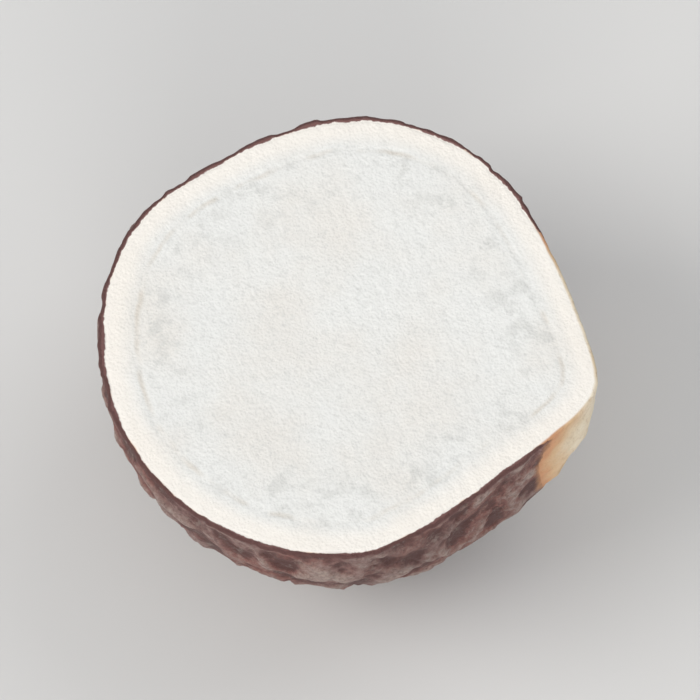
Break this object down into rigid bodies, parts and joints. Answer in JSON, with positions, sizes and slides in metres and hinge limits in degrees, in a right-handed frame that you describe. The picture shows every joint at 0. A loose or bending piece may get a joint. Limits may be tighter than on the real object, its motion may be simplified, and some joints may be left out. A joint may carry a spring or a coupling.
{
  "type": "fox nut half",
  "caption": "Half of a dried round seed, sawn flat, with a domed underside, a blunt nose and a small pit under the nose.",
  "frame": {"origin": "on the flat spot that the dome rests on, straight below the centre of mass", "axes": "+Z is the cut face's outward normal, up; +X runs along the seed's axis towards the hilum end"},
  "size_m": [0.0101, 0.0099, 0.0049],
  "materials": {
    "fox_nut": "chalky off-white starch on the cut face, with a thin wrinkled purple-brown coat on the dome"
  },
  "bodies": {
    "root": {"fox_nut_half": "fox_nut"}
  },
  "joints": []
}
